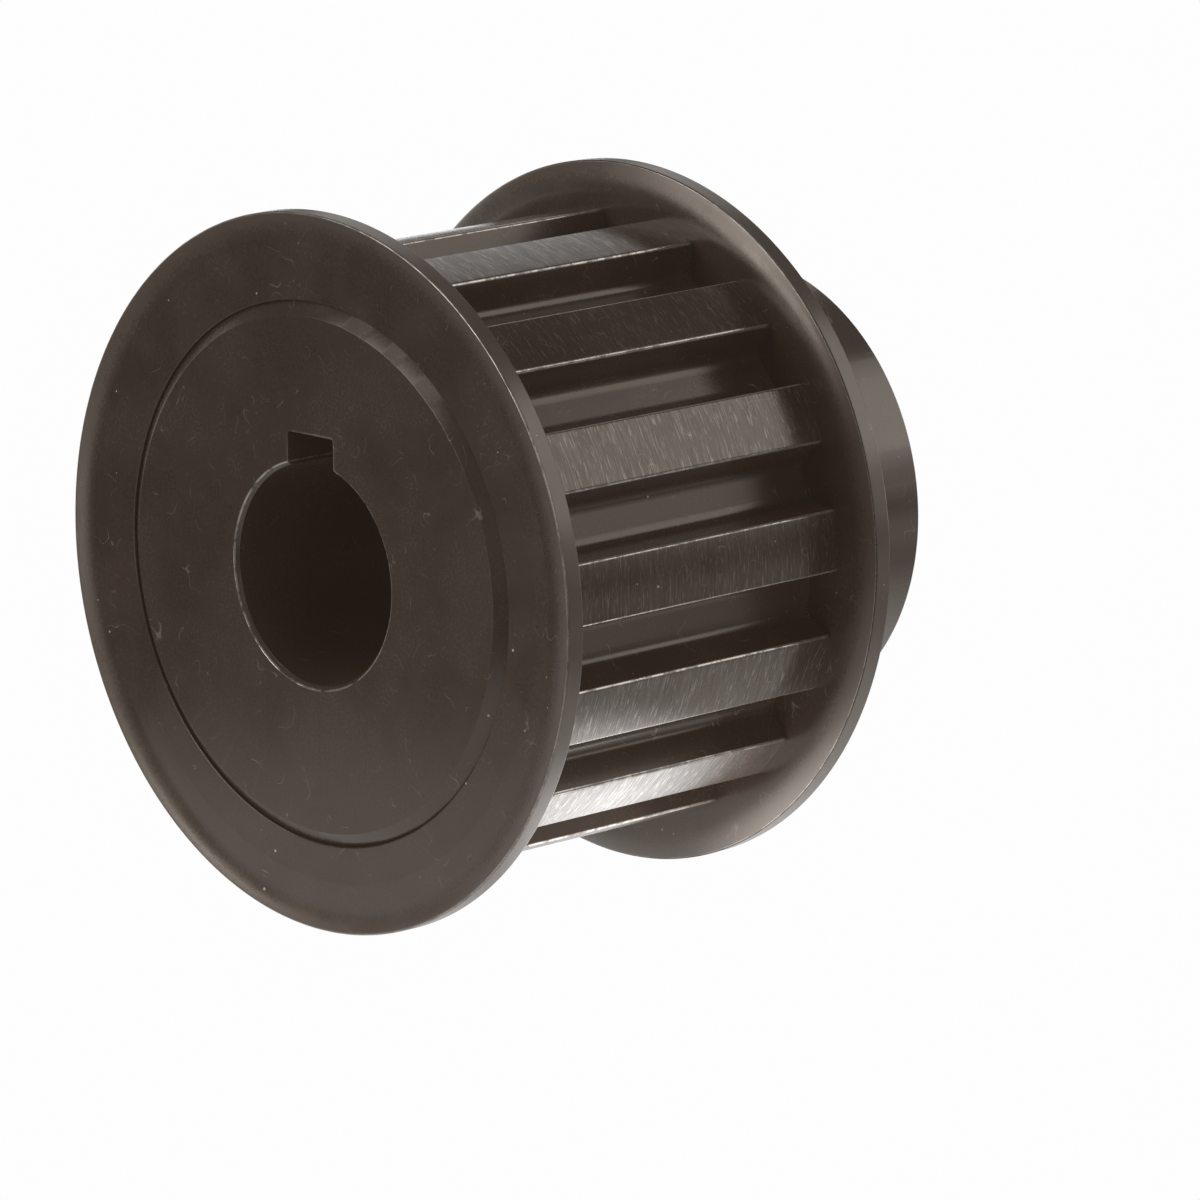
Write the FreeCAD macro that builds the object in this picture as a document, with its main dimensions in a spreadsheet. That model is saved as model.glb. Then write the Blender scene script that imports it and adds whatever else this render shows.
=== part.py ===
import FreeCAD, Part
import math
import os
import Sketcher

# A flanged timing belt pulley with a finished, keyed bore.
# Frame: the bore runs along Y, the front face looks toward -Y and the hub toward +Y, the
# keyway is at the top (+Z), and the origin is on the bore's axis, midway between the flanges.

SIZES = [
    ("tooth_count", 15, "teeth round the rim"),
    ("outside_radius", 22.352, "over the tooth tips"),
    ("groove_depth", 2.67, "tooth height of the L section"),
    ("groove_width", 3.05, "at the bottom of a groove"),
    ("flank_angle", 20.0, "degrees, half of the groove's included angle"),
    ("root_round", 0.8, "radius in the groove's corners"),
    ("tip_round", 0.25, "radius on the tooth tips"),
    ("tooth_phase", 14.7, "degrees from the keyway to a tooth's middle"),
    ("tooth_length", 28.2, "between the flanges"),
    ("shoulder_radius", 19.5, "seat of each flange, just under the groove's bottom"),
    ("shoulder_reach", 16.05, "from mid-width to the front face, and to the rear shoulder's face"),
    ("shoulder_chamfer", 1.0, "on both shoulders"),
    ("bore_radius", 7.9375, "five eighths of an inch across"),
    ("bore_chamfer", 0.3, "at both ends of the bore"),
    ("hub_radius", 17.0, "plain turned hub"),
    ("hub_reach", 28.4, "from mid-width to the hub's face"),
    ("hub_chamfer", 0.4, "at the hub's end"),
    ("keyway_width", 4.7625, "three sixteenths of an inch"),
    ("keyway_top", 10.1, "from the bore's axis to the keyway's roof"),
    ("flange_sheet", 1.5, "sheet thickness"),
    ("flange_radius", 25.8, "belt-side corner of the rim"),
    ("rim_slant", 0.02, "how much smaller the rim is at its outer corner"),
    ("crease_radius", 23.5, "where the lip starts on the outer side"),
    ("lip_rise", 0.36, "how far the lip leans out at its outer corner"),
    ("curl_start", 23.5, "where the belt side starts to curve away"),
    ("curl_radius", 7.15, "of the belt side's curve"),
    ("screw_station", 22.0, "from mid-width to the set screws"),
    ("thread_radius", 3.175, "quarter inch thread, over its crests"),
    ("thread_clearance", 0.05, "radial, between the screw and its tapped hole"),
    ("keyway_screw_length", 6.35, "quarter inch"),
    ("keyway_screw_tip", 10.35, "from the bore's axis"),
    ("side_screw_length", 7.9375, "five sixteenths of an inch"),
    ("side_screw_tip", 8.2, "from the bore's axis"),
    ("screw_chamfer", 0.5, "at both ends of a set screw"),
    ("cup_radius", 1.6, "mouth of the cup point"),
    ("cup_depth", 0.9, "of the cup point"),
    ("socket_flats", 3.175, "across the hexagon's flats"),
    ("socket_depth", 3.2, "of the hexagon socket"),
]

TURN = 360
HALF_TURN = 180
QUARTER_TURN = 90
HEXAGON_SIDES = 6
HEXAGON_SKEW = 15
SMALLEST_CUT = 1e-3
SAME_PLACE = 0.02

# How a sketch numbers its own origin and axes, and the points of a line, arc or circle.
ORIGIN = -1
ACROSS_AXIS = -1
UP_AXIS = -2
START = 1
END = 2
CENTRE = 3


def make_sheet(doc):
    """The driving dimensions, one row each: name, value, meaning."""
    sheet = doc.addObject("Spreadsheet::Sheet", "dim")
    for row, (alias, value, meaning) in enumerate(SIZES, start=1):
        sheet.set(f"A{row}", alias)
        sheet.set(f"B{row}", str(value))
        sheet.setAlias(f"B{row}", alias)
        sheet.set(f"C{row}", meaning)
    doc.recompute()
    return sheet


def origin_part(body, role):
    """One of the body's own origin planes or axes."""
    return next(item for item in body.Origin.OriginFeatures if item.Role == role)


def number(owner, expression):
    """What an expression on the sheet is worth now."""
    result = owner.evalExpression(expression)
    return float(getattr(result, "Value", result))


def new_sketch(body, name, plane):
    sketch = body.newObject("Sketcher::SketchObject", name)
    sketch.AttachmentSupport = [(origin_part(body, plane), "")]
    sketch.MapMode = "FlatFace"
    return sketch


def tie_point(sketch, shape, point, place):
    """Ties one point of a line, arc or circle to coordinates given as expressions."""
    kinds = (("DistanceX", UP_AXIS), ("DistanceY", ACROSS_AXIS))
    for (kind, axis), expression in zip(kinds, place):
        if expression == "0":
            sketch.addConstraint(Sketcher.Constraint("PointOnObject", shape, point, axis))
        elif expression is not None:
            value = number(sketch, expression)
            rule = Sketcher.Constraint(kind, ORIGIN, START, shape, point, value)
            index = sketch.addConstraint(rule)
            sketch.setExpression(f"Constraints[{index}]", expression)


def spot(sketch, place):
    return FreeCAD.Vector(number(sketch, place[0]), number(sketch, place[1]), 0)


def arc_between(centre, start, end):
    """The anticlockwise arc from start to end."""
    ring = Part.Circle(centre, FreeCAD.Vector(0, 0, 1), (start - centre).Length)
    first, last = (math.atan2(p.y - centre.y, p.x - centre.x) for p in (start, end))
    return Part.ArcOfCircle(ring, first, last)


def outline(sketch, corners, arc_from=None, arc_centre=None):
    """A closed outline through corners given as expressions.

    Its sides are straight, apart from one arc that may start at corner number arc_from.
    """
    points = [spot(sketch, corner) for corner in corners]
    for index, point in enumerate(points):
        following = points[(index + 1) % len(points)]
        if index == arc_from:
            side = arc_between(spot(sketch, arc_centre), point, following)
        else:
            side = Part.LineSegment(point, following)
        sketch.addGeometry(side, False)
    for index, corner in enumerate(corners):
        following = (index + 1) % len(corners)
        joined = Sketcher.Constraint("Coincident", index, END, following, START)
        sketch.addConstraint(joined)
        tie_point(sketch, index, START, corner)
    if arc_from is not None:
        tie_point(sketch, arc_from, CENTRE, (arc_centre[0], None))


def circle(sketch, centre, radius):
    """A circle whose centre and radius are given as expressions."""
    ring = Part.Circle(spot(sketch, centre), FreeCAD.Vector(0, 0, 1), number(sketch, radius))
    index = sketch.addGeometry(ring, False)
    sized = sketch.addConstraint(Sketcher.Constraint("Radius", index, number(sketch, radius)))
    sketch.setExpression(f"Constraints[{sized}]", radius)
    tie_point(sketch, index, CENTRE, centre)


def revolve(body, name, sketch):
    """Turns an outline a full turn about its sketch's vertical axis."""
    turned = body.newObject("PartDesign::Revolution", name)
    turned.Profile = sketch
    turned.ReferenceAxis = (sketch, ["V_Axis"])
    turned.Angle = TURN
    body.Document.recompute()
    return turned


def pocket(body, name, sketch, both_ways=False, reverse=False, depth=None):
    """Cuts a sketch out of the body, and stops if it removed nothing."""
    before = body.Shape.Volume
    cut = body.newObject("PartDesign::Pocket", name)
    cut.Profile = sketch
    cut.Reversed = reverse
    if depth is None:
        cut.Type = "ThroughAll"
        cut.SideType = "Symmetric" if both_ways else "One side"
    else:
        cut.Type = "Length"
        cut.setExpression("Length", depth)
    body.Document.recompute()
    if before - body.Shape.Volume < SMALLEST_CUT:
        raise RuntimeError(f"{body.Label}: {name} removed nothing")
    return cut


def round_axial_edges(body, name, radius_from_axis, round_radius):
    """Rounds every edge that runs along the bore at this distance from its axis."""
    base = body.Tip
    target = number(body, radius_from_axis)
    shortest = number(body, "dim.tooth_length / 2")
    names = []
    for index, edge in enumerate(base.Shape.Edges, start=1):
        ends = [vertex.Point for vertex in edge.Vertexes]
        along = len(ends) == 2 and abs(ends[0].y - ends[1].y) > shortest
        at_radius = all(abs(math.hypot(p.x, p.z) - target) < SAME_PLACE for p in ends)
        if along and at_radius:
            names.append(f"Edge{index}")
    if not names:
        raise RuntimeError(f"{body.Label}: {name} found no edges")
    rounded = body.newObject("PartDesign::Fillet", name)
    rounded.Base = (base, names)
    rounded.setExpression("Radius", round_radius)
    body.Document.recompute()


def make_blank(body):
    """The turned blank: front shoulder, toothed rim, rear shoulder, hub and bore."""
    sketch = new_sketch(body, "blank_profile", "XY_Plane")
    outline(sketch, [
        ("dim.bore_radius + dim.bore_chamfer", "-dim.shoulder_reach"),
        ("dim.shoulder_radius - dim.shoulder_chamfer", "-dim.shoulder_reach"),
        ("dim.shoulder_radius", "dim.shoulder_chamfer - dim.shoulder_reach"),
        ("dim.shoulder_radius", "-dim.tooth_length / 2"),
        ("dim.outside_radius", "-dim.tooth_length / 2"),
        ("dim.outside_radius", "dim.tooth_length / 2"),
        ("dim.shoulder_radius", "dim.tooth_length / 2"),
        ("dim.shoulder_radius", "dim.shoulder_reach - dim.shoulder_chamfer"),
        ("dim.shoulder_radius - dim.shoulder_chamfer", "dim.shoulder_reach"),
        ("dim.hub_radius", "dim.shoulder_reach"),
        ("dim.hub_radius", "dim.hub_reach - dim.hub_chamfer"),
        ("dim.hub_radius - dim.hub_chamfer", "dim.hub_reach"),
        ("dim.bore_radius + dim.bore_chamfer", "dim.hub_reach"),
        ("dim.bore_radius", "dim.hub_reach - dim.bore_chamfer"),
        ("dim.bore_radius", "dim.bore_chamfer - dim.shoulder_reach"),
    ])
    revolve(body, "blank", sketch)


def cut_grooves(body):
    """One belt groove, repeated round the rim, then its corners and tips rounded."""
    sketch = new_sketch(body, "groove_profile", "XZ_Plane")
    turn = FreeCAD.Rotation(FreeCAD.Vector(0, 0, -1), 1)
    sketch.AttachmentOffset = FreeCAD.Placement(FreeCAD.Vector(), turn)
    groove_angle = "dim.tooth_phase - 180 / dim.tooth_count"
    sketch.setExpression("AttachmentOffset.Rotation.Angle", groove_angle)
    bottom = "(dim.outside_radius - dim.groove_depth)"
    top = "(dim.outside_radius + dim.groove_depth)"
    half_bottom = "dim.groove_width / 2"
    half_top = f"({half_bottom} + 2 * dim.groove_depth * tan(dim.flank_angle * 1 deg))"
    outline(sketch, [
        (f"-{half_bottom}", bottom),
        (half_bottom, bottom),
        (half_top, top),
        (f"-{half_top}", top),
    ])
    groove = pocket(body, "groove", sketch, both_ways=True)
    pattern = body.newObject("PartDesign::PolarPattern", "grooves")
    pattern.Originals = [groove]
    pattern.Axis = (origin_part(body, "Y_Axis"), [""])
    pattern.Angle = TURN
    pattern.setExpression("Occurrences", "dim.tooth_count")
    body.Tip = pattern
    body.Document.recompute()
    corner = f"sqrt({bottom} ^ 2 + ({half_bottom}) ^ 2)"
    round_axial_edges(body, "groove_corners", corner, "dim.root_round")
    round_axial_edges(body, "tooth_tips", "dim.outside_radius", "dim.tip_round")


def cut_keyway(body):
    """The keyway, right through at the top of the bore."""
    sketch = new_sketch(body, "keyway_profile", "XZ_Plane")
    half = "dim.keyway_width / 2"
    outline(sketch, [
        (f"-{half}", "dim.bore_radius / 2"),
        (half, "dim.bore_radius / 2"),
        (half, "dim.keyway_top"),
        (f"-{half}", "dim.keyway_top"),
    ])
    pocket(body, "keyway", sketch, both_ways=True)


def drill_screw_hole(body, name, plane, centre, reverse):
    """A hole from the bore out through the hub's wall on one side."""
    sketch = new_sketch(body, f"{name}_profile", plane)
    circle(sketch, centre, "dim.thread_radius + dim.thread_clearance")
    pocket(body, name, sketch, reverse=reverse)


def make_pulley_body(doc):
    body = doc.addObject("PartDesign::Body", "pulley_body")
    make_blank(body)
    cut_grooves(body)
    cut_keyway(body)
    drill_screw_hole(body, "keyway_screw_hole", "XY_Plane", ("0", "dim.screw_station"), True)
    drill_screw_hole(body, "side_screw_hole", "YZ_Plane", ("dim.screw_station", "0"), False)
    return body


def make_flange(doc, label, turn):
    """A pressed flange, drawn as the rear one. Half a turn about Z makes it the front one."""
    body = doc.addObject("PartDesign::Body", label)
    sketch = new_sketch(body, "flange_profile", "XY_Plane")
    inner = "dim.tooth_length / 2"
    outer = f"({inner} + dim.flange_sheet)"
    curl_reach = "(dim.flange_radius - dim.curl_start)"
    curl_rise = f"(dim.curl_radius - sqrt(dim.curl_radius ^ 2 - {curl_reach} ^ 2))"
    outline(sketch, [
        ("dim.shoulder_radius", inner),
        ("dim.curl_start", inner),
        ("dim.flange_radius", f"{inner} + {curl_rise}"),
        ("dim.flange_radius - dim.rim_slant", f"{outer} + dim.lip_rise"),
        ("dim.crease_radius", outer),
        ("dim.shoulder_radius", outer),
    ], arc_from=1, arc_centre=("dim.curl_start", f"{inner} + dim.curl_radius"))
    revolve(body, "flange", sketch)
    upright = FreeCAD.Vector(0, 0, 1)
    body.Placement = FreeCAD.Placement(FreeCAD.Vector(), FreeCAD.Rotation(upright, turn))
    return body


def make_set_screw(doc, label, length, placement):
    """A socket set screw with a cup point, its tip at its own origin and its head up."""
    body = doc.addObject("PartDesign::Body", label)
    sketch = new_sketch(body, "screw_profile", "XZ_Plane")
    outline(sketch, [
        ("0", "dim.cup_depth"),
        ("dim.cup_radius", "0"),
        ("dim.thread_radius - dim.screw_chamfer", "0"),
        ("dim.thread_radius", "dim.screw_chamfer"),
        ("dim.thread_radius", f"{length} - dim.screw_chamfer"),
        ("dim.thread_radius - dim.screw_chamfer", length),
        ("0", length),
    ])
    revolve(body, "screw", sketch)
    hexagon = new_sketch(body, "socket_profile", "XY_Plane")
    hexagon.setExpression("AttachmentOffset.Base.z", length)
    step = TURN // HEXAGON_SIDES
    angles = [HEXAGON_SKEW + step * index for index in range(HEXAGON_SIDES)]
    reach = "dim.socket_flats / sqrt(3)"
    outline(hexagon, [(f"{reach} * cos({a} deg)", f"{reach} * sin({a} deg)") for a in angles])
    pocket(body, "socket", hexagon, depth="dim.socket_depth")
    body.Placement = placement
    return body


def make_keyway_screw(doc):
    place = FreeCAD.Placement(FreeCAD.Vector(), FreeCAD.Rotation())
    length = "dim.keyway_screw_length"
    body = make_set_screw(doc, "keyway_set_screw", length, place)
    body.setExpression("Placement.Base.y", "dim.screw_station")
    body.setExpression("Placement.Base.z", "dim.keyway_screw_tip")
    return body


def make_side_screw(doc):
    toward_side = FreeCAD.Rotation(FreeCAD.Vector(0, 1, 0), -QUARTER_TURN)
    place = FreeCAD.Placement(FreeCAD.Vector(), toward_side)
    length = "dim.side_screw_length"
    body = make_set_screw(doc, "side_set_screw", length, place)
    body.setExpression("Placement.Base.y", "dim.screw_station")
    body.setExpression("Placement.Base.x", "-dim.side_screw_tip")
    return body


def check(doc, parts):
    """Stops if anything failed to build."""
    for item in doc.Objects:
        if {"Invalid", "Error"} & set(item.State):
            raise RuntimeError(f"{item.Name} failed: {item.State}")
    for part in parts:
        shape = part.Shape
        if shape.isNull() or not shape.isValid() or len(shape.Solids) != 1:
            raise RuntimeError(f"{part.Label} is not one valid solid")


def main():
    doc = FreeCAD.newDocument("timing_belt_pulley")
    make_sheet(doc)
    parts = [
        make_pulley_body(doc),
        make_flange(doc, "front_flange", HALF_TURN),
        make_flange(doc, "rear_flange", 0),
        make_keyway_screw(doc),
        make_side_screw(doc),
    ]
    doc.recompute()
    check(doc, parts)
    os.makedirs("parts", exist_ok=True)
    for part in parts:
        part.Shape.exportStep(f"parts/{part.Label}.step")
        print(part.Label, round(part.Shape.Volume, 1), "cubic mm")


main()
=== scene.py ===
import math
import bmesh
import bpy
from mathutils import Matrix, Vector


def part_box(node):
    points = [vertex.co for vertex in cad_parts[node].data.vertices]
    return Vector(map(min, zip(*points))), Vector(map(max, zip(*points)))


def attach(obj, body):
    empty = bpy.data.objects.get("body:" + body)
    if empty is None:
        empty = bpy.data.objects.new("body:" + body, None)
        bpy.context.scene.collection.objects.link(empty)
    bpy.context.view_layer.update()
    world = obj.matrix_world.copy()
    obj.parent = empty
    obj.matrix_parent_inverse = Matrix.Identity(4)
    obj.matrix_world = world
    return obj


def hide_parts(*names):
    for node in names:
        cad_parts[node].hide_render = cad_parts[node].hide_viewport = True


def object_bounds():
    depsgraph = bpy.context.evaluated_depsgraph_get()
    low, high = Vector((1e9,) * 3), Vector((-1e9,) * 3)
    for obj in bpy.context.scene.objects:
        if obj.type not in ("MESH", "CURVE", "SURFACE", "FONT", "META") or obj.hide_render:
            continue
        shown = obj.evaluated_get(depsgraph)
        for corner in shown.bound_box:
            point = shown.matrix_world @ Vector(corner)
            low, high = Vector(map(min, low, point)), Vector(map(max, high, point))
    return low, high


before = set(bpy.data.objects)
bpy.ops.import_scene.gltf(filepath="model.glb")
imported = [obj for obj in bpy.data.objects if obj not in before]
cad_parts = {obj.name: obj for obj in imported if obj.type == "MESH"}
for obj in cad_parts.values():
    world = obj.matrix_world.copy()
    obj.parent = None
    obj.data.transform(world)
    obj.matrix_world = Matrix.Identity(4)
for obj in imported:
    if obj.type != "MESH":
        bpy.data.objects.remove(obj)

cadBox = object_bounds()
mm = 0.001
fullTurn = 2 * math.pi

# The bore runs along Y: the front face looks toward -Y, the hub toward +Y, and the keyway is
# at the top. Outlines are drawn in mm as (radius, place along the bore) and turned about Y.


def boxInMm(node):
    low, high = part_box(node)
    return low / mm, high / mm


# Writing node trees

class Value:  # a number in a node tree, so that a formula reads as a formula
    def __init__(self, tree, socket):
        self.tree = tree
        self.socket = socket

    def math(self, operation, *others):
        made = self.tree.nodes.new("ShaderNodeMath")
        made.operation = operation
        for index, value in enumerate((self, *others)):
            plug(self.tree, value, made.inputs[index])
        return Value(self.tree, made.outputs[0])

    def __add__(self, other):
        return self.math("ADD", other)

    def __sub__(self, other):
        return self.math("SUBTRACT", other)

    def __rsub__(self, other):
        return self * -1 + other

    def __rtruediv__(self, other):
        return self.math("POWER", -1) * other

    def __mul__(self, other):
        return self.math("MULTIPLY", other)

    def __truediv__(self, other):
        return self.math("DIVIDE", other)

    def __gt__(self, other):
        return self.math("GREATER_THAN", other)

    def __lt__(self, other):
        return self.math("LESS_THAN", other)

    __radd__ = __add__
    __rmul__ = __mul__

    def ramp(self, low, high):  # 0 at low and below, 1 at high and above, smooth between
        made = self.tree.nodes.new("ShaderNodeMapRange")
        made.interpolation_type = "SMOOTHSTEP"
        for label, value in (("Value", self), ("From Min", low), ("From Max", high)):
            plug(self.tree, value, made.inputs[label])
        return Value(self.tree, made.outputs["Result"])


def plug(tree, value, socket):
    value = value.socket if isinstance(value, Value) else value
    if isinstance(value, bpy.types.NodeSocket):
        tree.links.new(value, socket)
    else:
        socket.default_value = value


def add(tree, kind, inputs=None, **settings):
    made = tree.nodes.new(kind)
    for name, value in settings.items():
        setattr(made, name, value)
    for name, value in (inputs or {}).items():
        plug(tree, value, made.inputs[name])
    return made


def newGroup(name, kind, inputs, outputs):
    tree = bpy.data.node_groups.new(name, kind)
    for label, socketType in inputs.items():
        tree.interface.new_socket(label, in_out="INPUT", socket_type=f"NodeSocket{socketType}")
    for label, socketType in outputs.items():
        tree.interface.new_socket(label, in_out="OUTPUT", socket_type=f"NodeSocket{socketType}")
    given = tree.nodes.new("NodeGroupInput").outputs
    out = tree.nodes.new("NodeGroupOutput").inputs
    return tree, {label: Value(tree, given[label]) for label in inputs}, out


def useGroup(tree, group, inputs):
    kind = "ShaderNodeGroup" if tree.bl_idname == "ShaderNodeTree" else "GeometryNodeGroup"
    made = tree.nodes.new(kind)
    made.node_tree = group
    for label, value in inputs.items():
        plug(tree, value, made.inputs[label])
    return {socket.name: Value(tree, socket) for socket in made.outputs}


def blend(low, high, share):  # low where share is 0, high where it is 1
    return low + (high - low) * share


def storeNumber(tree, geometry, name, value):
    return add(tree, "GeometryNodeStoreNamedAttribute",
               {"Geometry": geometry, "Name": name, "Value": value}).outputs[0]


def readNumber(tree, name):
    made = add(tree, "GeometryNodeInputNamedAttribute", {"Name": name}, data_type="FLOAT")
    return Value(tree, made.outputs[0])


def parts(tree, vector):
    made = add(tree, "ShaderNodeSeparateXYZ", {"Vector": vector})
    return [Value(tree, socket) for socket in made.outputs]


def joined(tree, x, y, z):
    return add(tree, "ShaderNodeCombineXYZ", {"X": x, "Y": y, "Z": z}).outputs[0]


def place(tree):
    return tree.nodes.new("GeometryNodeInputPosition").outputs[0]


def moved(tree, geometry, position):
    return add(tree, "GeometryNodeSetPosition",
               {"Geometry": geometry, "Position": position}).outputs[0]


# Turning an outline along a rail. A rail is a closed curve round the bore whose points keep
# their angle and radius. Each corner of an outline has a style: plain is turned round,
# shaped takes the rail's radius, which makes teeth or a hexagon, and threaded winds a thread.

plain, shaped, threaded = 0, 1, 2


def keepRail(tree, curve):
    x, _, z = parts(tree, place(tree))
    curve = storeNumber(tree, curve, "railRadius", (x * x + z * z).math("SQRT"))
    return storeNumber(tree, curve, "railAngle", x.math("ARCTAN2", z))


def makeTurnGroup():
    tree, given, out = newGroup("turnOutline", "GeometryNodeTree",
        {"Outline": "Geometry", "Rail": "Geometry", "Round Steps": "Int", "Thread Cuts": "Int",
         "Thread Pitch": "Float", "Thread Depth": "Float", "Crest Radius": "Float",
         "Material": "Material"}, {"Geometry": "Geometry"})
    curve = add(tree, "GeometryNodeMeshToCurve", {"Mesh": given["Outline"]}).outputs[0]
    style = readNumber(tree, "style")
    index = tree.nodes.new("GeometryNodeInputIndex").outputs[0]
    following = add(tree, "GeometryNodeOffsetPointInCurve", {"Point Index": index, "Offset": 1})
    nextStyle = add(tree, "GeometryNodeFieldAtIndex",
                    {"Value": style, "Index": following.outputs["Point Index"]},
                    data_type="FLOAT", domain="POINT")
    winding = (style > 1.5) * (Value(tree, nextStyle.outputs[0]) > 1.5)
    curve = add(tree, "GeometryNodeSubdivideCurve",
                {"Curve": curve, "Cuts": winding * given["Thread Cuts"]}).outputs[0]
    curve = add(tree, "GeometryNodeFilletCurve",
                {"Curve": curve, "Count": given["Round Steps"], "Limit Radius": True,
                 "Radius": readNumber(tree, "round")}, mode="POLY").outputs[0]
    across, along, _ = parts(tree, place(tree))
    curve = storeNumber(tree, curve, "turnRadius", across)
    curve = storeNumber(tree, curve, "turnPlace", along)
    mesh = add(tree, "GeometryNodeCurveToMesh",
               {"Curve": given["Rail"], "Profile Curve": curve}).outputs[0]
    angle = readNumber(tree, "railAngle")
    along = readNumber(tree, "turnPlace")
    radius = readNumber(tree, "turnRadius")
    radius = blend(radius, readNumber(tree, "railRadius"), (style > 0.5) * (style < 1.5))
    wound = (along / given["Thread Pitch"] - angle / fullTurn).math("FRACT")
    slope = (wound - 0.5).math("ABSOLUTE") * 2.6 - 0.2
    hollow = slope.math("MAXIMUM", 0).math("MINIMUM", 0.9) / 0.9
    threadRadius = given["Crest Radius"] - given["Thread Depth"] * (1 - hollow)
    radius = blend(radius, radius.math("MINIMUM", threadRadius), style > 1.5)
    spot = joined(tree, angle.math("SINE") * radius, along, angle.math("COSINE") * radius)
    mesh = moved(tree, mesh, spot)
    mesh = add(tree, "GeometryNodeMergeByDistance",
               {"Geometry": mesh, "Distance": 0.0005}).outputs[0]
    mesh = add(tree, "GeometryNodeTransform", {"Geometry": mesh, "Scale": (mm, mm, mm)}).outputs[0]
    mesh = add(tree, "GeometryNodeSetShadeSmooth", {"Geometry": mesh}).outputs[0]
    mesh = add(tree, "GeometryNodeRealizeInstances", {"Geometry": mesh}).outputs[0]
    mesh = add(tree, "GeometryNodeSetMaterial",
               {"Geometry": mesh, "Material": given["Material"]}).outputs[0]
    plug(tree, mesh, out["Geometry"])
    return tree


def makeToothedTree(turnOutline):
    tree, given, out = newGroup("toothedWheel", "GeometryNodeTree",
        {"Outline": "Geometry", "Teeth": "Int", "Outside Radius": "Float",
         "Root Radius": "Float", "Groove Width": "Float", "Flank Angle": "Float",
         "Tip Round": "Float", "Root Round": "Float", "First Tooth": "Float",
         "Land Cuts": "Int", "Root Cuts": "Int", "Round Steps": "Int",
         "Material": "Material"}, {"Geometry": "Geometry"})
    outside, root, flank = given["Outside Radius"], given["Root Radius"], given["Flank Angle"]
    halfGroove = given["Groove Width"] / 2
    pitch = fullTurn / given["Teeth"]
    flankReach = halfGroove * flank.math("COSINE") - root * flank.math("SINE")
    halfLand = pitch / 2 - flank - (flankReach / outside).math("ARCSINE")
    halfRoot = halfGroove.math("ARCTAN2", root)
    rootCorner = (halfGroove * halfGroove + root * root).math("SQRT")
    circle = add(tree, "GeometryNodeCurvePrimitiveCircle", {"Resolution": given["Teeth"] * 4})
    index = Value(tree, tree.nodes.new("GeometryNodeInputIndex").outputs[0])
    tooth = (index / 4).math("FLOOR")
    corner = index - tooth * 4             # 0 and 1 end a tooth's land, 2 and 3 a groove's bottom
    onRoot = corner > 1.5
    side = (corner - onRoot * 2) * 2 - 1   # -1 at the first of the two, 1 at the second
    angle = given["First Tooth"] + pitch * (tooth + onRoot * 0.5)
    angle = angle + side * blend(halfLand, halfRoot, onRoot)
    radius = blend(outside, rootCorner, onRoot)
    curve = moved(tree, circle.outputs[0],
                  joined(tree, angle.math("SINE") * radius, 0.0, angle.math("COSINE") * radius))
    curve = storeNumber(tree, curve, "side", side)
    curve = storeNumber(tree, curve, "land", 1 - onRoot)
    cuts = (side < 0) * blend(given["Land Cuts"], given["Root Cuts"], onRoot)
    curve = add(tree, "GeometryNodeSubdivideCurve", {"Curve": curve, "Cuts": cuts}).outputs[0]
    land = readNumber(tree, "land")
    x, _, z = parts(tree, place(tree))
    stretch = blend(1, outside / (x * x + z * z).math("SQRT"), land > 0.999)
    curve = moved(tree, curve, joined(tree, x * stretch, 0.0, z * stretch))
    atCorner = readNumber(tree, "side").math("ABSOLUTE") > 0.999
    rounding = atCorner * blend(given["Root Round"], given["Tip Round"], land)
    curve = add(tree, "GeometryNodeFilletCurve",
                {"Curve": curve, "Count": given["Round Steps"], "Limit Radius": True,
                 "Radius": rounding}, mode="POLY").outputs[0]
    made = useGroup(tree, turnOutline,
        {"Outline": given["Outline"], "Rail": keepRail(tree, curve), "Thread Pitch": 1.0,
         "Round Steps": given["Round Steps"], "Material": given["Material"]})
    plug(tree, made["Geometry"], out["Geometry"])
    return tree


def makeRoundTree(turnOutline):
    tree, given, out = newGroup("turnedPart", "GeometryNodeTree",
        {"Outline": "Geometry", "Points Round": "Int", "Hexagon Flats": "Float",
         "Round Steps": "Int", "Thread Cuts": "Int", "Thread Pitch": "Float",
         "Thread Depth": "Float", "Crest Radius": "Float", "Material": "Material"},
        {"Geometry": "Geometry"})
    circle = add(tree, "GeometryNodeCurvePrimitiveCircle", {"Resolution": given["Points Round"]})
    index = Value(tree, tree.nodes.new("GeometryNodeInputIndex").outputs[0])
    angle = index * fullTurn / given["Points Round"]
    sixth = fullTurn / 6
    fromFlat = angle - (angle / sixth).math("ROUND") * sixth
    radius = given["Hexagon Flats"] / 2 / fromFlat.math("COSINE")
    curve = moved(tree, circle.outputs[0],
                  joined(tree, angle.math("SINE") * radius, 0.0, angle.math("COSINE") * radius))
    same = ("Outline", "Round Steps", "Thread Cuts", "Thread Pitch", "Thread Depth",
            "Crest Radius", "Material")
    made = useGroup(tree, turnOutline,
        {"Rail": keepRail(tree, curve), **{label: given[label] for label in same}})
    plug(tree, made["Geometry"], out["Geometry"])
    return tree


def outlineMesh(name, corners, closed):
    mesh = bpy.data.meshes.new(name)
    links = [(index, index + 1) for index in range(len(corners) - 1)]
    if closed:
        links.append((len(corners) - 1, 0))
    mesh.from_pydata([(corner[0], corner[1], 0) for corner in corners], links, [])
    for label, column in (("round", 2), ("style", 3)):
        kept = mesh.attributes.new(label, "FLOAT", "POINT")
        kept.data.foreach_set("value", [float(corner[column]) for corner in corners])
    return mesh


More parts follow.
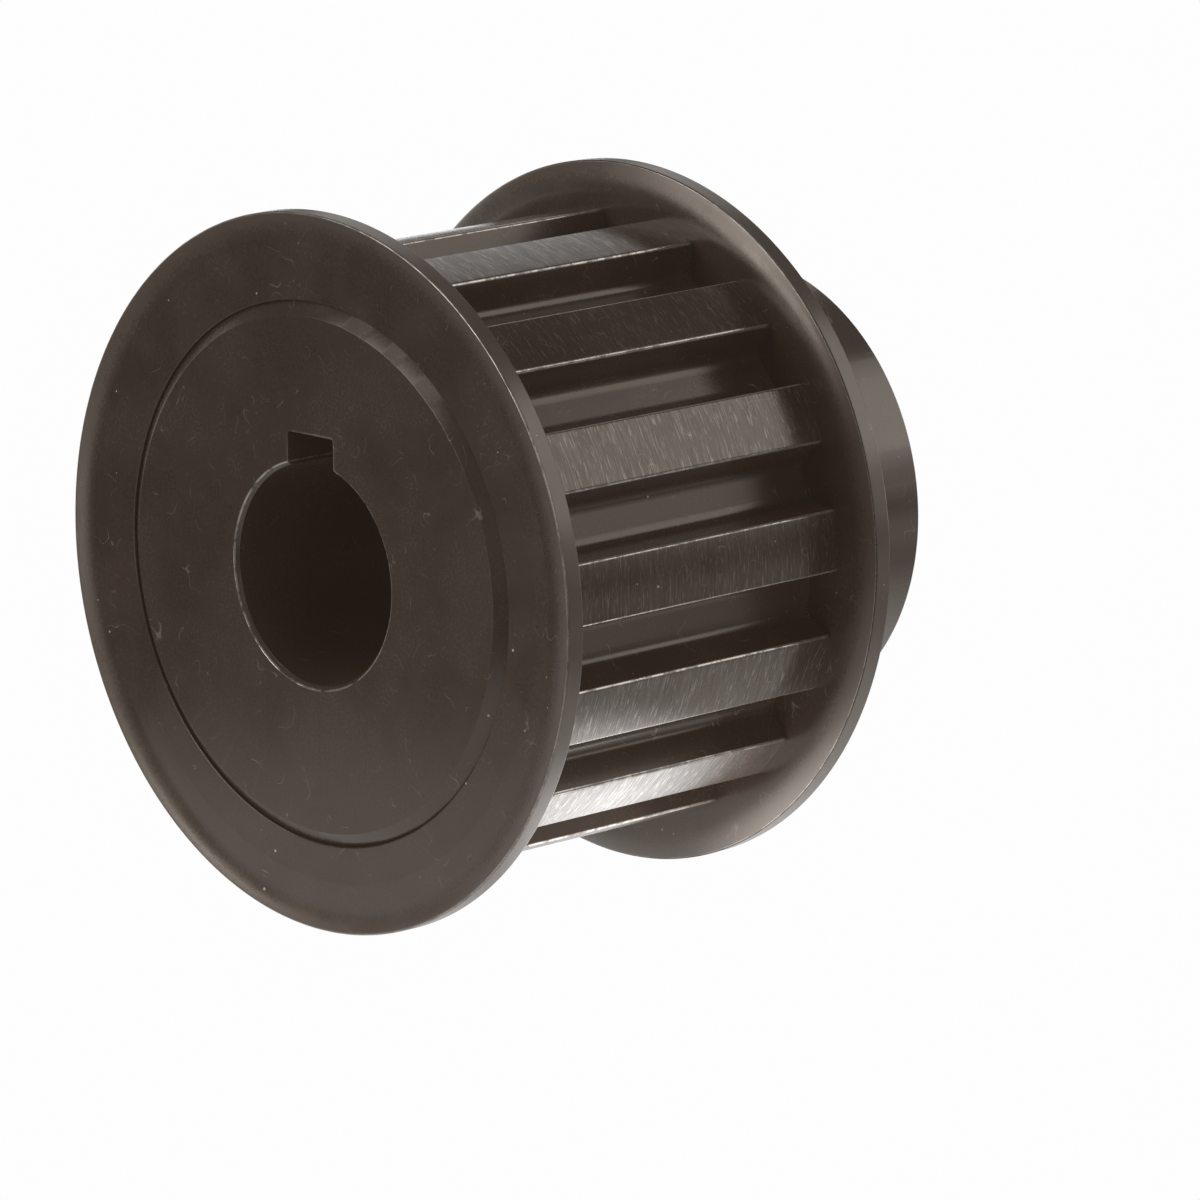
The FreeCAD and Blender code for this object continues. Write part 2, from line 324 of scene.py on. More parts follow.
def asPlainMesh(piece, name):
    bpy.context.view_layer.update()
    seen = piece.evaluated_get(bpy.context.evaluated_depsgraph_get())
    mesh = bpy.data.meshes.new_from_object(seen)
    mesh.name = name
    piece.modifiers.clear()
    piece.data = mesh
    return mesh


def turnPiece(name, tree, corners, closed, inputs):
    piece = bpy.data.objects.new(name, outlineMesh(f"{name}_outline", corners, closed))
    bpy.context.scene.collection.objects.link(piece)
    modifier = piece.modifiers.new("make", "NODES")
    modifier.node_group = tree
    sockets = {item.name: item.identifier for item in tree.interface.items_tree}
    for label, value in inputs.items():
        modifier[sockets[label]] = value
    mesh = asPlainMesh(piece, name)
    for kept in [item.name for item in mesh.attributes]:
        if kept in ("round", "style", "side", "land", "railRadius", "railAngle",
                    "turnRadius", "turnPlace"):
            mesh.attributes.remove(mesh.attributes[kept])
    faceOutward(mesh)
    return piece


def faceOutward(mesh):
    work = bmesh.new()
    work.from_mesh(mesh)
    bmesh.ops.recalc_face_normals(work, faces=work.faces)
    work.to_mesh(mesh)
    work.free()


def finishEdges(piece, sharpest):  # sharp edges stay crisp, and flats stay flat beside rounds
    work = bmesh.new()
    work.from_mesh(piece.data)
    bmesh.ops.recalc_face_normals(work, faces=work.faces)
    for edge in work.edges:
        edge.smooth = edge.calc_face_angle(0) < math.radians(sharpest)
    for face in work.faces:
        face.smooth = True
    work.to_mesh(piece.data)
    work.free()
    weighted = piece.modifiers.new("weighted", "WEIGHTED_NORMAL")
    weighted.keep_sharp = True
    asPlainMesh(piece, piece.name)


def subtract(piece, cutter):
    cut = piece.modifiers.new("cut", "BOOLEAN")
    cut.operation = "DIFFERENCE"
    cut.solver = "EXACT"
    cut.object = cutter
    asPlainMesh(piece, piece.name)
    bpy.data.objects.remove(cutter)


# Finishes that more than one material uses

def objectInMm(tree):
    spot = tree.nodes.new("ShaderNodeTexCoord").outputs["Object"]
    scaled = add(tree, "ShaderNodeVectorMath", {0: spot, "Scale": 1 / mm}, operation="SCALE")
    return scaled.outputs[0]


def noise(tree, vector, scale, detail=2.0, rough=0.5, distortion=0.0):
    made = add(tree, "ShaderNodeTexNoise",
               {"Vector": vector, "Scale": scale, "Detail": detail, "Roughness": rough,
                "Distortion": distortion})
    return Value(tree, made.outputs[0])


def makeTurningMarks():  # fine lines that run round the bore, as a lathe tool leaves them
    tree, given, out = newGroup("turningMarks", "ShaderNodeTree",
        {"Lines Per Mm": "Float", "Length": "Float"}, {"Fine": "Float", "Bold": "Float"})
    x, y, z = parts(tree, objectInMm(tree))
    radius = (x * x + z * z).math("SQRT").math("MAXIMUM", 0.1)
    around = given["Length"].math("POWER", -1)
    step = (y + radius) * given["Lines Per Mm"]
    wander = noise(tree, objectInMm(tree), 0.35) * given["Lines Per Mm"] * 0.3
    lines = joined(tree, x / radius * around * 20, step + wander, z / radius * around * 20)
    fine = noise(tree, lines, 1.0, 3.0, 0.6)
    slow = joined(tree, x / radius * around * 60, (step + wander) * 0.8, z / radius * around * 60)
    bold = noise(tree, slow, 1.0, 2.0, 0.5).ramp(0.58, 0.66)
    plug(tree, fine, out["Fine"])
    plug(tree, bold, out["Bold"])
    return tree


def makeEdgeWear():  # oxide rubbed off outer edges, in broken stretches
    tree, given, out = newGroup("edgeWear", "ShaderNodeTree",
        {"Reach": "Float", "Amount": "Float", "Broken": "Float"}, {"Worn": "Float"})
    shadow = add(tree, "ShaderNodeAmbientOcclusion", {"Distance": given["Reach"]},
                 inside=True, samples=12)
    edge = 1 - Value(tree, shadow.outputs["AO"])
    chips = noise(tree, objectInMm(tree), 1.6, 4.0, 0.65)
    patches = noise(tree, objectInMm(tree), 0.16, 2.0)
    broken = (chips * 0.6 + patches * 0.8 - 0.7) * given["Broken"]
    plug(tree, (edge + broken).ramp(0.30, 0.62) * given["Amount"], out["Worn"])
    return tree


def makeOxideMottle():  # slow clouds and fine grain of a blackened surface
    tree, given, out = newGroup("oxideMottle", "ShaderNodeTree",
        {"Cloud Size": "Float", "Grain Size": "Float"}, {"Cloud": "Float", "Grain": "Float"})
    spot = objectInMm(tree)
    cloud = noise(tree, spot, given["Cloud Size"].math("POWER", -1), 3.0, 0.55)
    grain = noise(tree, spot, given["Grain Size"].math("POWER", -1), 3.0, 0.65)
    plug(tree, cloud.ramp(0.3, 0.7), out["Cloud"])
    plug(tree, grain, out["Grain"])
    return tree


def makeHandling():  # stray scratches and specks of dust
    tree, given, out = newGroup("handling", "ShaderNodeTree",
        {"Scratches": "Float", "Dust": "Float"}, {"Scratch": "Float", "Speck": "Float"})
    spot = objectInMm(tree)
    line = (noise(tree, spot, 0.42, 1.0, 0.5, 0.4) - 0.5).math("ABSOLUTE")
    where = noise(tree, spot, 0.55, 2.0).ramp(0.54, 0.62)
    scratch = (1 - line.ramp(0.0015, 0.005)) * where
    cells = add(tree, "ShaderNodeTexVoronoi", {"Vector": spot, "Scale": 0.85})
    pick = parts(tree, cells.outputs["Color"])
    size = pick[0].math("POWER", 3) * 0.10
    near = Value(tree, cells.outputs["Distance"])
    speck = (size - near).ramp(0.0, 0.02) * (pick[1] > 0.55)
    plug(tree, scratch * given["Scratches"], out["Scratch"])
    plug(tree, speck * given["Dust"], out["Speck"])
    return tree


turningMarks = makeTurningMarks()
edgeWear = makeEdgeWear()
oxideMottle = makeOxideMottle()
handling = makeHandling()


def mixColour(tree, share, low, high):
    made = add(tree, "ShaderNodeMix", data_type="RGBA")
    plug(tree, share, made.inputs[0])
    plug(tree, low, made.inputs[6])
    plug(tree, high, made.inputs[7])
    return made.outputs[2]


bareSteel = (0.40, 0.37, 0.34, 1)
dustColour = (0.36, 0.33, 0.28, 1)


def makeBlackOxide(name, look):
    material = bpy.data.materials.new(name)
    material.use_nodes = True
    tree = material.node_tree
    tree.nodes.clear()
    marks = useGroup(tree, turningMarks,
                     {"Lines Per Mm": look["linesPerMm"], "Length": look["lineLength"]})
    worn = useGroup(tree, edgeWear, {"Reach": look["wearReach"] * mm, "Amount": look["wear"],
                                     "Broken": look["wearBroken"]})["Worn"]
    mottle = useGroup(tree, oxideMottle,
                      {"Cloud Size": look["cloudSize"], "Grain Size": look["grainSize"]})
    stray = useGroup(tree, handling, {"Scratches": look["scratches"], "Dust": look["dust"]})
    cloud, grain = mottle["Cloud"], mottle["Grain"]
    x, y, z = parts(tree, objectInMm(tree))
    radius = (x * x + z * z).math("SQRT")
    turned = radius.ramp(look["turnedFrom"] - 0.08, look["turnedFrom"])  # tooth lands only
    lines = blend(look["marks"], look["landMarks"], turned)
    onLand = (marks["Fine"] - 0.5) * look["landShine"] + marks["Bold"] * look["boldShine"]
    lip = radius.ramp(look["lipFrom"], look["lipTo"])
    hub = y.ramp(*look["hubStart"]) * (1 - radius.ramp(*look["hubOutside"])) * look["hub"]
    film = turned * (onLand + look["landFilm"]) + lip * look["lipFilm"] + hub * look["hubFilm"]
    film = film.math("MAXIMUM", 0).math("MINIMUM", 1)   # oil left on the oxide
    tone = (cloud * 0.4 + grain * 0.8 - 0.1 + (marks["Fine"] - 0.5) * lines * 2).ramp(0.0, 1.0)
    colour = mixColour(tree, tone, look["darkOxide"], look["lightOxide"])
    fromMiddle = y.math("ABSOLUTE")
    underFlange = fromMiddle.ramp(look["shadowFrom"] - 0.9, look["shadowFrom"])
    underFlange = underFlange * (1 - fromMiddle.ramp(look["shadowTo"], look["shadowTo"] + 0.2))
    worn = worn * (1 - underFlange)
    # Pales the hub, and the flange lips toward the rim; on the lips this is partly a paler pressed
    # finish and partly a painted highlight.
    colour = mixColour(tree, (lip * look["lip"]).math("MAXIMUM", hub), colour, look["paleHubAndPaintedLipHighlight"])
    band = radius.ramp(look["edgeLow"] - 0.04, look["edgeLow"] + 0.02)
    band = band * (1 - radius.ramp(look["edgeHigh"] - 0.005, look["edgeHigh"] + 0.008))
    chipped = noise(tree, objectInMm(tree), look["edgeChips"], 4.0, 0.6).ramp(0.40, 0.56)
    boreEdge = radius.ramp(*look["boreEdgeIn"]) * (1 - radius.ramp(*look["boreEdgeOut"]))
    boreEdge = boreEdge * look["boreWorn"]
    worn = worn + band * (0.35 + chipped * 0.65) * look["edgeWorn"] * (1 - underFlange)
    worn = worn + boreEdge * chipped
    bright = worn + stray["Scratch"] * 0.5 + marks["Bold"] * turned * look["boldMarks"]
    bright = bright.math("MINIMUM", 1)
    colour = mixColour(tree, bright * 0.85, colour, bareSteel)
    colour = mixColour(tree, stray["Speck"], colour, dustColour)
    rough = blend(look["roughness"], look["landRoughness"], turned) + lip * look["lipRough"]
    rough = rough + (cloud - 0.5) * 0.05 + (grain - 0.5) * look["grainRoughness"]
    rough = rough - bright * 0.06 + stray["Speck"] * 0.3
    height = grain * look["grainDepth"] + marks["Fine"] * lines * look["markDepth"]
    height = height - stray["Scratch"] * 0.002 - marks["Bold"] * turned * 0.001
    outer = fromMiddle > look["leanSide"]   # 1 on a flange's outer side, 0 on its belt side
    reach = (radius - look["leanFrom"] - outer * look["leanLag"]).math("MAXIMUM", 0)
    lean = reach * reach * 0.5 * (outer * 2 - 1) * (1 - radius.ramp(*look["leanEnd"]))
    height = height + lean * look["lean"]   # shading only: leans a lip further than its mesh
    bump = add(tree, "ShaderNodeBump", {"Height": height * mm, "Distance": 1.0, "Strength": 1.0})
    # The Emission socket makes the oxide glow faintly in a warm tint everywhere: painted light that
    # lifts its darkest shade.
    shader = add(tree, "ShaderNodeBsdfPrincipled",
                 {"Base Color": colour, "Roughness": rough, "Metallic": bright * 0.8,
                  "Normal": bump.outputs[0], "IOR": look["ior"],
                  "Coat Weight": film, "Coat Roughness": look["filmRoughness"],
                  "Specular Tint": look["sheenTint"],
                  "Emission Color": look["paintedGlowTint"], "Emission Strength": look["paintedGlowStrength"]})
    add(tree, "ShaderNodeOutputMaterial", {"Surface": shader.outputs[0]})
    return material


bodyFinish = {
    "darkOxide": (0.022, 0.015, 0.011, 1), "lightOxide": (0.036, 0.026, 0.019, 1),
    "roughness": 0.25, "landRoughness": 0.23, "grainRoughness": 0.16, "ior": 1.5,
    # the glow tint and strength on the next line are painted light: a faint warm glow that lifts the
    # darkest shade
    "sheenTint": (1.0, 0.90, 0.80, 1), "paintedGlowTint": (1.0, 0.64, 0.46, 1), "paintedGlowStrength": 0.0125,
    "linesPerMm": 9.0, "lineLength": 3.0, "marks": 0.15, "landMarks": 0.9, "boldMarks": 0.12,
    "landShine": 2.2, "boldShine": 0.75, "landFilm": 0.12, "filmRoughness": 0.2,
    "turnedFrom": 22.25, "markDepth": 0.0012, "grainDepth": 0.0025,
    "cloudSize": 7.0, "grainSize": 0.22,
    "wearReach": 0.4, "wear": 0.7, "wearBroken": 0.7, "scratches": 0.6, "dust": 0.8,
    "edgeLow": 22.18, "edgeHigh": 22.335, "edgeWorn": 0.95, "edgeChips": 0.9,  # tooth tips
    "shadowFrom": 14.1, "shadowTo": 14.6,   # no wear where the tooth ends meet the flanges
    "lipFrom": 23.6, "lipTo": 25.8, "lip": 0.0, "lipFilm": 0.0, "lipRough": 0.0,
    "lean": 0.0, "leanFrom": 22.8, "leanSide": 15.0, "leanLag": 0.7, "leanEnd": (25.72, 25.78),
    "boreWorn": 0.8, "boreEdgeIn": (8.12, 8.20), "boreEdgeOut": (8.27, 8.30),
    "hub": 0.5, "hubFilm": 0.6, "hubStart": (15.7, 16.2), "hubOutside": (17.1, 17.3),
    # the pale tone below pales the hub, and on the flange lips it is partly a painted highlight
    "paleHubAndPaintedLipHighlight": (0.070, 0.056, 0.045, 1),
}
flangeFinish = dict(bodyFinish, roughness=0.24, landRoughness=0.24, marks=0.12, landMarks=0.12,
                    landShine=0.0, boldShine=0.0, boldMarks=0.0, grainDepth=0.0026,
                    cloudSize=5.0, grainSize=0.3, scratches=0.5, dust=1.0,
                    edgeLow=25.69, edgeHigh=25.762, edgeWorn=0.8, edgeChips=0.7,
                    # lip on the next line sets how far the flange lips pale: partly a pressed finish,
                    # partly a painted highlight
                    shadowFrom=0.9, shadowTo=-1.0, lip=0.7, lipFilm=0.2, lipRough=0.08, lean=0.07,
                    boreWorn=0.0,
                    wearReach=0.16, wear=0.6, hub=0.0)
screwFinish = dict(bodyFinish, roughness=0.3, landRoughness=0.3, marks=0.05, landMarks=0.05,
                   landShine=0.0, boldShine=0.0, boldMarks=0.0, grainDepth=0.002,
                   cloudSize=2.0, grainSize=0.12, edgeWorn=0.0, boreWorn=0.0, hub=0.0,
                   wearReach=0.12, wear=0.35, scratches=0.2, dust=0.4)

pulleyBlack = makeBlackOxide("pulley_black_oxide", bodyFinish)
flangeBlack = makeBlackOxide("flange_black_oxide", flangeFinish)
screwBlack = makeBlackOxide("set_screw_black_oxide", screwFinish)
print("finishes made")

turnOutline = makeTurnGroup()
toothedWheel = makeToothedTree(turnOutline)
turnedPart = makeRoundTree(turnOutline)
print("turning and tooth cutting ready")

# Pulley body: one piece of steel with the toothed rim, both flange seats, the hub and the bore

bodyLow, bodyHigh = boxInMm("pulley_body")
flangeLow, flangeHigh = boxInMm("rear_flange")
keyScrewLow, keyScrewHigh = boxInMm("keyway_set_screw")
sideScrewLow, sideScrewHigh = boxInMm("side_set_screw")

pulleyBody = {
    "teeth": 15, "outsideRadius": 22.352, "rootRadius": 19.682, "grooveWidth": 3.05,
    "flankAngle": 20.0, "tipRound": 0.25, "rootRound": 0.8, "firstTooth": 14.7,
    "frontFace": bodyLow.y, "hubFace": bodyHigh.y,
    "toothEnd": flangeLow.y,               # where the teeth meet the flange
    "shoulderRadius": 19.5, "shoulderChamfer": 1.0, "shoulderDrop": 0.74,   # across and along
    "hubRadius": 17.0, "hubChamfer": 0.4, "hubCornerRound": 0.3,
    "boreRadius": 7.9375, "boreChamfer": 0.3, "edgeRound": 0.08,
    "landCuts": 7, "rootCuts": 3, "roundSteps": 4,
}
keyway = {"width": 4.7625, "top": 10.1, "cornerRound": 0.25}
tapping = {
    "pitch": 1.27, "depth": 0.65, "crestRadius": 3.225, "cutsPerPitch": 16,
    "pointsRound": 72, "mouthRadius": 3.75, "mouthDepth": 0.5,
    "station": (keyScrewLow.y + keyScrewHigh.y) / 2,
}


def bodyOutline(size):
    front, hub, end = size["frontFace"], size["hubFace"], size["toothEnd"]
    back = -front                          # the rear shoulder mirrors the front one
    bore, chamfer, edge = size["boreRadius"], size["boreChamfer"], size["edgeRound"]
    seat, slope, outside = size["shoulderRadius"], size["shoulderChamfer"], size["outsideRadius"]
    hubRadius, hubSlope = size["hubRadius"], size["hubChamfer"]
    return [
        (bore + chamfer, front, edge, plain),
        (seat - slope, front, edge, plain),
        (seat, front + size["shoulderDrop"], edge, plain),
        (seat, -end, 0, plain),
        (outside, -end, 0, shaped),
        (outside, end, 0, shaped),
        (seat, end, 0, plain),
        (seat, back - size["shoulderDrop"], edge, plain),
        (seat - slope, back, edge, plain),
        (hubRadius, back, size["hubCornerRound"], plain),
        (hubRadius, hub - hubSlope, edge, plain),
        (hubRadius - hubSlope, hub, edge, plain),
        (bore + chamfer, hub, edge, plain),
        (bore, hub - chamfer, edge, plain),
        (bore, front + chamfer, edge, plain),
    ]


def makeBody(size):
    return turnPiece("pulley_body_steel", toothedWheel, bodyOutline(size), True,
        {"Teeth": size["teeth"], "Outside Radius": size["outsideRadius"],
         "Root Radius": size["rootRadius"], "Groove Width": size["grooveWidth"],
         "Flank Angle": math.radians(size["flankAngle"]), "Tip Round": size["tipRound"],
         "Root Round": size["rootRound"], "First Tooth": math.radians(size["firstTooth"]),
         "Land Cuts": size["landCuts"], "Root Cuts": size["rootCuts"],
         "Round Steps": size["roundSteps"], "Material": pulleyBlack})


def makeKeywayCutter(size, front, back):
    half, top, corner = size["width"] / 2, size["top"], size["cornerRound"]
    reach = 1.0                            # the cutter stands out of both ends
    section = [(-half, 0), (half, 0)]
    for side in (1, -1):
        for step in range(5):
            turn = math.pi / 8 * (step if side > 0 else 4 - step)
            section.append((side * (half - corner + corner * math.cos(turn)),
                            top - corner + corner * math.sin(turn)))
    work = bmesh.new()
    start = (front - reach) * mm
    face = work.faces.new([work.verts.new((x * mm, start, z * mm)) for x, z in section])
    grown = bmesh.ops.extrude_face_region(work, geom=[face])["geom"]
    moving = [item for item in grown if isinstance(item, bmesh.types.BMVert)]
    bmesh.ops.translate(work, verts=moving, vec=(0, (back - front + 2 * reach) * mm, 0))
    bmesh.ops.recalc_face_normals(work, faces=work.faces)
    mesh = bpy.data.meshes.new("keyway_cutter")
    work.to_mesh(mesh)
    work.free()
    mesh.materials.append(pulleyBlack)
    cutter = bpy.data.objects.new("keyway_cutter", mesh)
    bpy.context.scene.collection.objects.link(cutter)
    return cutter


def acrossBore(turn, station):  # takes a part drawn along Y to a hole across the bore
    stand = Matrix.Rotation(math.radians(90), 4, "X")
    return Matrix.Translation((0, station * mm, 0)) @ Matrix.Rotation(turn, 4, "Y") @ stand


toKeyway, toSide = 0.0, math.radians(-90)


def makeTapCutter(size, hubRadius, turn):
    crest, mouth = size["crestRadius"], size["mouthRadius"]
    top = hubRadius - size["mouthDepth"]
    spread = mouth - crest
    length = top - 3.0
    corners = [
        (0, 3.0, 0, plain),
        (crest, 3.0, 0, threaded),
        (crest, top, 0, threaded),
        (crest + spread * 0.3, top + 0.05, 0, plain),
        (mouth + 0.6, hubRadius + 0.65, 0, plain),
        (mouth + 0.6, hubRadius + 3, 0, plain),
        (0, hubRadius + 3, 0, plain),
    ]
    cuts = round(length / size["pitch"] * size["cutsPerPitch"])
    cutter = turnPiece("tap", turnedPart, corners, False,
        {"Points Round": size["pointsRound"], "Hexagon Flats": 1.0, "Round Steps": 3,
         "Thread Cuts": cuts, "Thread Pitch": size["pitch"], "Thread Depth": size["depth"],
         "Crest Radius": crest, "Material": pulleyBlack})
    cutter.data.transform(acrossBore(turn, size["station"]))
    return cutter


body = makeBody(pulleyBody)
subtract(body, makeKeywayCutter(keyway, bodyLow.y, bodyHigh.y))
for turn in (toKeyway, toSide):
    subtract(body, makeTapCutter(tapping, pulleyBody["hubRadius"], turn))
finishEdges(body, 24)
print("pulley body turned, toothed, keyed and tapped:", len(body.data.polygons), "faces")

# Flanges: two pressed rings whose rims curve away from the belt. The lip is a curve on both sides

flange = {
    "seatRadius": 19.5, "rimRadius": flangeHigh.x, "inner": flangeLow.y, "sheet": 1.5,
    "rimRise": 0.38, "rimSlant": 0.02, "curlRound": 8.6, "curlCorner": 24.53,
    "creaseRadius": 24.6, "outer": flangeHigh.y, "creaseRound": 6.9, "edgeRound": 0.12,
    "outerRound": 0.18, "seatRound": 0.1, "pointsRound": 288, "roundSteps": 6,
}


def makeFlange(name, size, side):
    inner, rim = size["inner"], size["rimRadius"]
    corners = [
        (size["seatRadius"], inner, size["seatRound"], plain),
        (size["curlCorner"], inner, size["curlRound"], plain),
        (rim, inner + size["rimRise"], size["edgeRound"], plain),
        (rim - size["rimSlant"], size["outer"], size["outerRound"], plain),
        (size["creaseRadius"], inner + size["sheet"], size["creaseRound"], plain),
        (size["seatRadius"], inner + size["sheet"], size["seatRound"], plain),
    ]
    corners = [(radius, along * side, rounding, style)
               for radius, along, rounding, style in corners]
    piece = turnPiece(name, turnedPart, corners, True,
        {"Points Round": size["pointsRound"], "Hexagon Flats": 1.0, "Thread Pitch": 1.0,
         "Round Steps": size["roundSteps"], "Material": flangeBlack})
    finishEdges(piece, 30)
    return piece


frontFlange = makeFlange("front_flange_pressed", flange, -1)
rearFlange = makeFlange("rear_flange_pressed", flange, 1)
print("flanges pressed:", len(frontFlange.data.polygons), "faces each")

# Set screws: quarter inch threads, hexagon sockets and cup points

setScrew = {
    "pitch": 1.27, "depth": 0.65, "crestRadius": 3.175, "cutsPerPitch": 16, "pointsRound": 72,
    "chamfer": 0.62, "cupRadius": 1.6, "cupDepth": 0.9, "socketFlats": 3.175,
    "socketDepth": 3.2, "socketMouth": 0.16, "drillPoint": 0.5, "edgeRound": 0.06,
}


def makeSetScrew(name, size, tip, head, turn):
    crest, chamfer = size["crestRadius"], size["chamfer"]
    mouth = size["socketFlats"] / 2 / math.cos(math.pi / 6) + 0.05
    floor = head - size["socketDepth"]
    corners = [
        (0, tip + size["cupDepth"], 0, plain),
        (size["cupRadius"], tip, size["edgeRound"], plain),
        (crest - chamfer, tip, 0, threaded),
        (crest, tip + chamfer, 0, threaded),
        (crest, head - chamfer, 0, threaded),
        (crest - chamfer, head, 0, threaded),
        (mouth, head, 0, plain),
        (1.0, head - size["socketMouth"], 0, shaped),
        (1.0, floor, 0, shaped),
        (0, floor - size["drillPoint"], 0, plain),
    ]
    cuts = round((head - tip) / size["pitch"] * size["cutsPerPitch"])
    piece = turnPiece(name, turnedPart, corners, False,
        {"Points Round": size["pointsRound"], "Hexagon Flats": size["socketFlats"],
         "Round Steps": 3, "Thread Cuts": cuts, "Thread Pitch": size["pitch"],
         "Thread Depth": size["depth"], "Crest Radius": crest, "Material": screwBlack})
    piece.data.transform(acrossBore(turn, tapping["station"]))
    finishEdges(piece, 28)
    return piece


keywayScrew = makeSetScrew("keyway_set_screw_socket", setScrew,
                           keyScrewLow.z, keyScrewHigh.z, toKeyway)
sideScrew = makeSetScrew("side_set_screw_socket", setScrew,
                         -sideScrewHigh.x, -sideScrewLow.x, toSide)
print("set screws cut:", len(sideScrew.data.polygons), "faces in the longer")

for piece, owner, node, slot in (
        (body, "pulley", "pulley_body", "pulley_body"),
        (frontFlange, "pulley", "front_flange", "flanges"),
        (rearFlange, "pulley", "rear_flange", "flanges"),
        (keywayScrew, "keyway_screw", "keyway_set_screw", "set_screws"),
        (sideScrew, "side_screw", "side_set_screw", "set_screws")):
    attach(piece, owner)
    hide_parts(node)

# Floor, lights and camera

studio = {   # places on the floor in metres
    "floorReach": 4.0,
    "underGlow": 3.3, "underAt": (0.019, 0.006), "underFrom": 0.005, "underTo": 0.016,
    "sideGlow": 0.5, "sideAt": (0.10, 0.10), "sideFrom": 0.03, "sideTo": 0.08,
    "floorNear": 0.85, "nearFrom": 0.045, "nearTo": 0.09,
    "frontGlow": 4.4, "frontAt": (-0.045, -0.16), "frontFrom": 0.02, "frontTo": 0.058,
    "floorFront": 0.07, "floorBehind": 2.0, "brightSide": 44.0,    # degrees left of straight back
    "brightFrom": 0.055, "brightTo": 0.16, "surround": 0.10, "backdrop": 0.985,
}
softBoxes = {   # left of the front and up in degrees, distance and size in metres, radiance, tint
    "frontBox": (24, 28, 0.9, 0.60, 0.45, 3.9, (1.0, 0.97, 0.94)),
    "frontLow": (18, 16, 0.9, 0.46, 0.20, 5.2, (1.0, 0.97, 0.93)),
    "topBox": (0, 82, 0.9, 0.45, 0.45, 2.6, (1.0, 1.0, 1.0)),
    "rightBox": (-140, 27, 0.9, 0.50, 0.50, 2.15, (1.0, 0.97, 0.92)),
    "rightLow": (-140, 4, 0.9, 0.45, 0.40, 0.6, (1.0, 0.94, 0.88)),
    "rightFill": (-80, 8, 0.9, 0.7, 0.6, 1.6, (1.0, 0.98, 0.96)),
    "backBox": (140, 28, 0.9, 0.45, 0.45, 0.66, (1.0, 0.99, 0.98)),
    "leftLow": (100, 4, 0.9, 0.45, 0.40, 1.7, (1.0, 0.95, 0.9)),
    "fillBox": (-42, 14, 0.9, 0.6, 0.6, 0.25, (1.0, 0.95, 0.9)),
}


def glowSpot(x, y, name):   # a soft round pool of light on the floor
    acrossX, acrossY = x - studio[f"{name}At"][0], y - studio[f"{name}At"][1]
    away = (acrossX * acrossX + acrossY * acrossY).math("SQRT")
    return (1 - away.ramp(studio[f"{name}From"], studio[f"{name}To"])) * studio[f"{name}Glow"]


def makeFloor():
    reach = studio["floorReach"]
    level = cadBox[0].z
    mesh = bpy.data.meshes.new("floor")
    corners = ((-1, -1), (1, -1), (1, 1), (-1, 1))
    mesh.from_pydata([(x * reach, y * reach, level) for x, y in corners], [], [(0, 1, 2, 3)])
    floor = bpy.data.objects.new("floor", mesh)
    bpy.context.scene.collection.objects.link(floor)
    material = bpy.data.materials.new("pale_floor")
    material.use_nodes = True
    tree = material.node_tree
    tree.nodes.clear()
    x, y, _ = parts(tree, tree.nodes.new("ShaderNodeTexCoord").outputs["Object"])
    under = glowSpot(x, y, "under")
    turn = math.radians(studio["brightSide"])
    behind = (x * -math.sin(turn) + y * math.cos(turn)).ramp(studio["brightFrom"], studio["brightTo"])
    near = 1 - (x * x + y * y).math("SQRT").ramp(studio["nearFrom"], studio["nearTo"])
    front = studio["floorFront"] + near * studio["floorNear"] + glowSpot(x, y, "front")
    front = front + glowSpot(x, y, "side")
    lit = front + (studio["floorBehind"] - front) * behind + under
    seen = Value(tree, tree.nodes.new("ShaderNodeLightPath").outputs["Is Camera Ray"])
    glow = add(tree, "ShaderNodeEmission",
               {"Color": (1, 1, 1, 1), "Strength": blend(lit, studio["backdrop"], seen)})
    add(tree, "ShaderNodeOutputMaterial", {"Surface": glow.outputs[0]})
    mesh.materials.append(material)


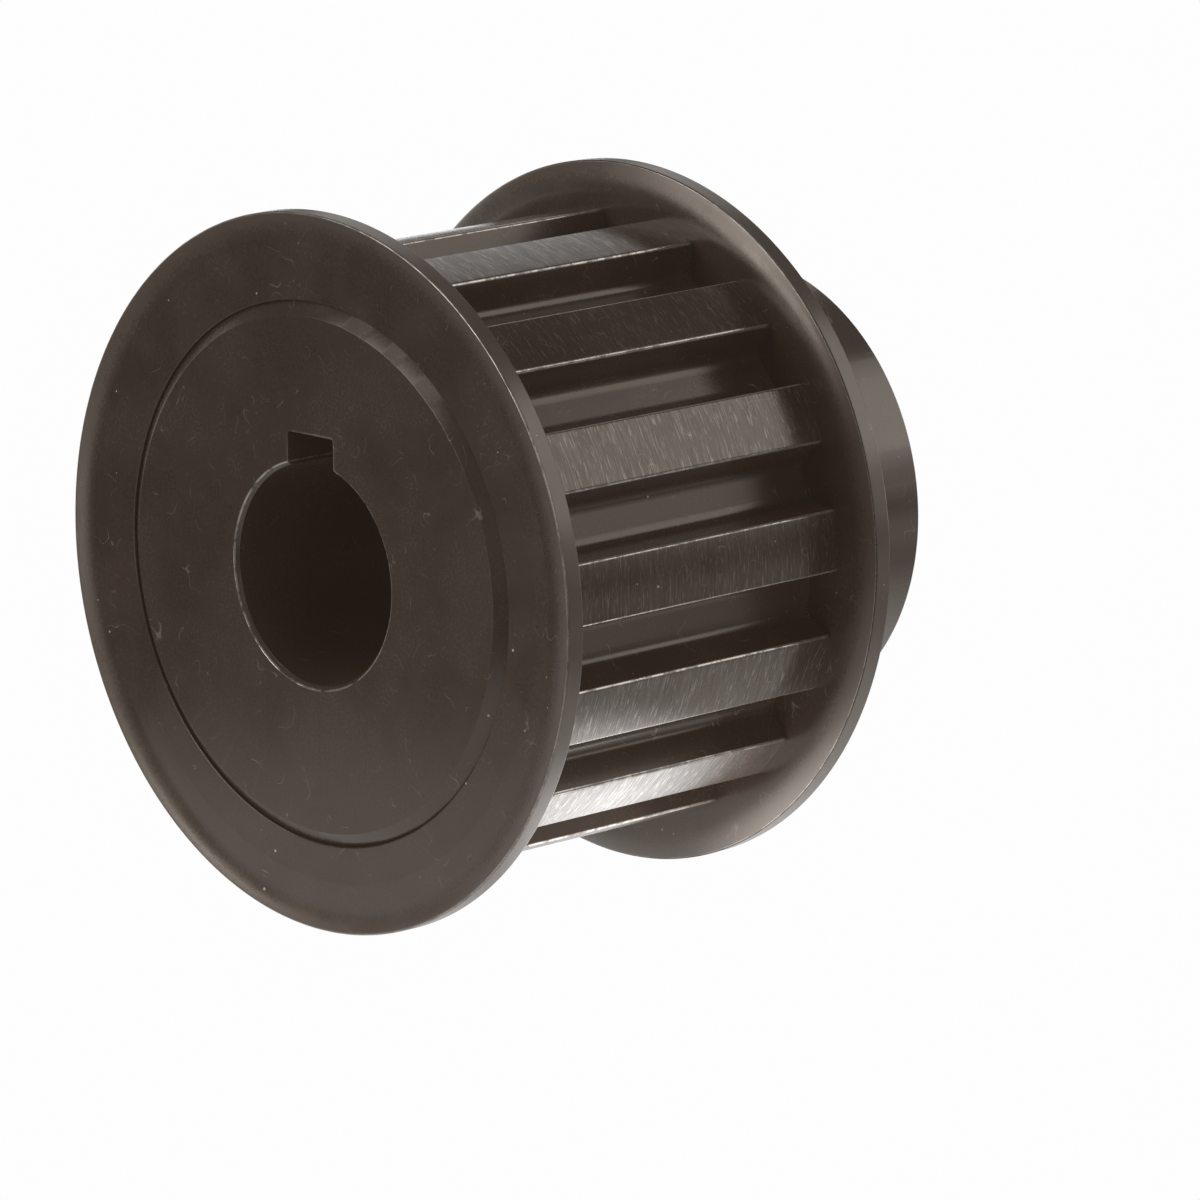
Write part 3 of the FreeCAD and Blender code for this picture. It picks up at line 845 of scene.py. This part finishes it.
def makeSurround():
    world = bpy.data.worlds.new("studio")
    bpy.context.scene.world = world
    world.use_nodes = True
    tree = world.node_tree
    tree.nodes.clear()
    seen = Value(tree, tree.nodes.new("ShaderNodeLightPath").outputs["Is Camera Ray"])
    sky = add(tree, "ShaderNodeBackground",
              {"Color": (1, 1, 1, 1), "Strength": blend(studio["surround"], studio["backdrop"], seen)})
    add(tree, "ShaderNodeOutputWorld", {"Surface": sky.outputs[0]})


def makeSoftBox(name, left, up, distance, width, height, radiance, tint):
    light = bpy.data.lights.new(name, "AREA")
    light.shape = "RECTANGLE"
    light.size = width
    light.size_y = height
    light.energy = radiance * math.pi * width * height
    light.color = tint
    box = bpy.data.objects.new(name, light)
    left, up = math.radians(left), math.radians(up)
    toward = Vector((-math.sin(left) * math.cos(up), -math.cos(left) * math.cos(up), math.sin(up)))
    box.location = toward * distance
    box.rotation_euler = toward.to_track_quat("Z", "Y").to_euler()
    box.visible_camera = False
    bpy.context.scene.collection.objects.link(box)


makeFloor()
makeSurround()
for name, values in softBoxes.items():
    makeSoftBox(name, *values)
print("floor and soft boxes placed")

cameraPlace = {
    "turn": 45.746, "rise": 12.671, "tilt": -0.254,    # degrees
    "right": 8.789, "up": -4.210, "distance": 567.562,  # mm, in the camera's own directions
    "lens": 237.39, "sensor": 36.0,
}


def makeCamera(view):
    turn, rise, tilt = (math.radians(view[key]) for key in ("turn", "rise", "tilt"))
    right = Vector((math.cos(turn), math.sin(turn), 0))
    back = Vector((math.sin(turn) * math.cos(rise), -math.cos(turn) * math.cos(rise), math.sin(rise)))
    up = back.cross(right)
    right, up = (math.cos(tilt) * right + math.sin(tilt) * up,
                 math.cos(tilt) * up - math.sin(tilt) * right)
    data = bpy.data.cameras.new("camera")
    data.lens = view["lens"]
    data.sensor_width = view["sensor"]
    data.clip_start = 0.01
    camera = bpy.data.objects.new("camera", data)
    spot = (right * view["right"] + up * view["up"] + back * view["distance"]) * mm
    camera.matrix_world = Matrix((right, up, back)).transposed().to_4x4()
    camera.location = spot
    bpy.context.scene.collection.objects.link(camera)
    bpy.context.scene.camera = camera


makeCamera(cameraPlace)
bpy.context.scene.view_settings.view_transform = "Standard"
print("camera placed")
